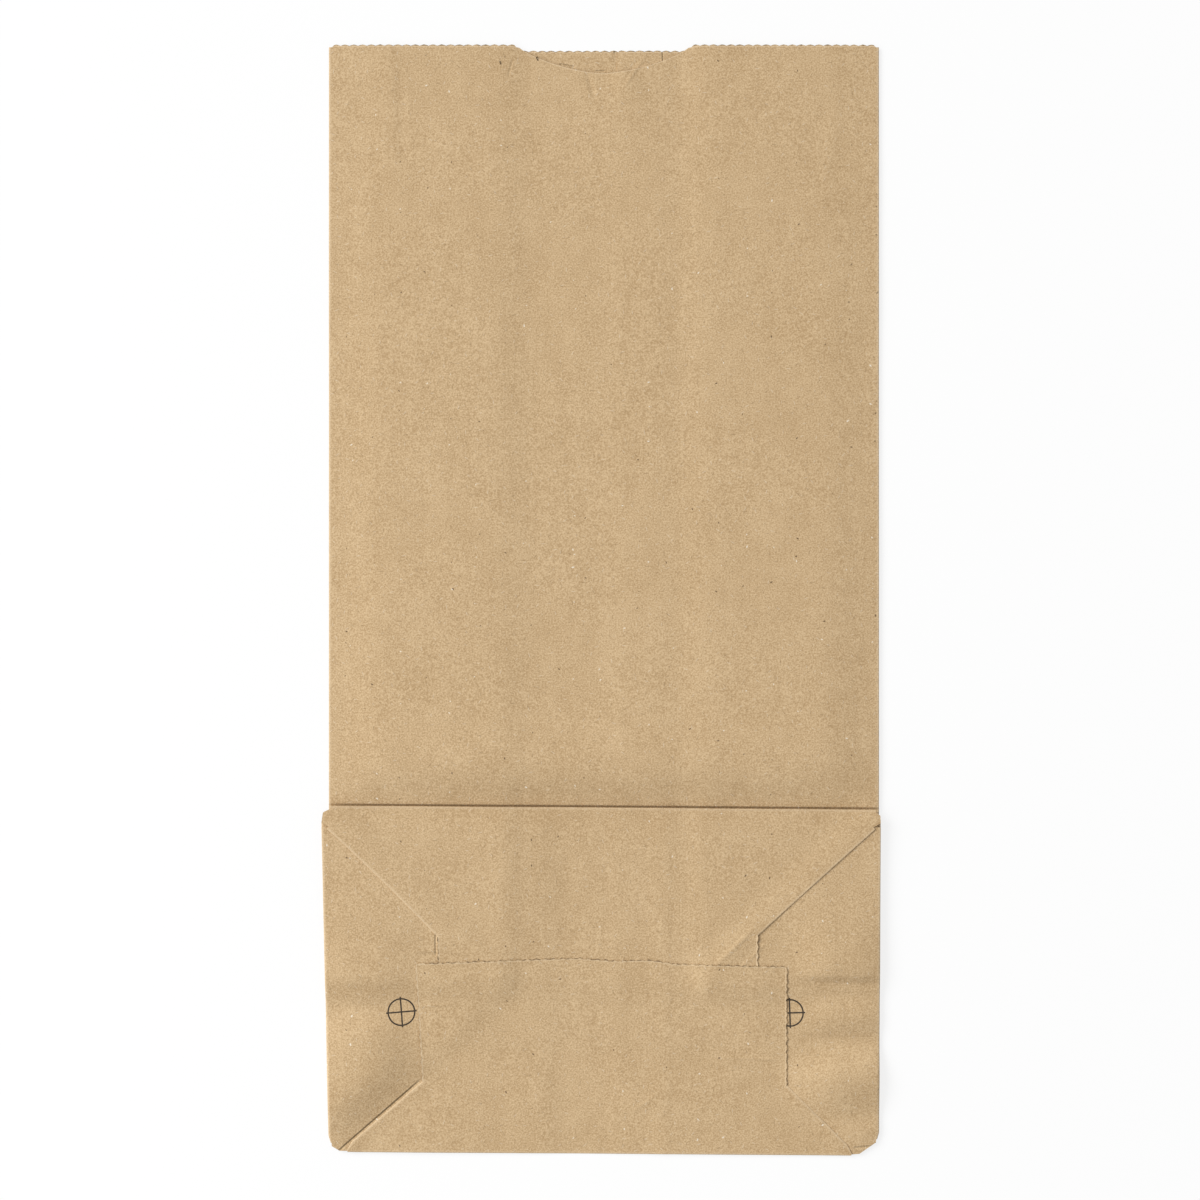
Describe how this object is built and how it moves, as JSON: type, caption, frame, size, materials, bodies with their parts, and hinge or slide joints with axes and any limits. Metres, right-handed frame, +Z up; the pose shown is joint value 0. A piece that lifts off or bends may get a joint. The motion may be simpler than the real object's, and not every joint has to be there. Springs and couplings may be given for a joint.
{
  "type": "paper lunch bag",
  "caption": "Brown kraft paper lunch bag with a square bottom and side gussets, folded flat with its bottom turned up onto the front.",
  "frame": {"origin": "on the ground under the middle of the flat bag", "axes": "+X to the right and +Y towards the mouth when the front of the bag is looked down on, +Z up out of the front"},
  "size_m": [0.158, 0.3145, 0.0032],
  "materials": {
    "kraft_paper": "matte"
  },
  "bodies": {
    "root": {"paper_bag": "kraft_paper"}
  },
  "joints": []
}
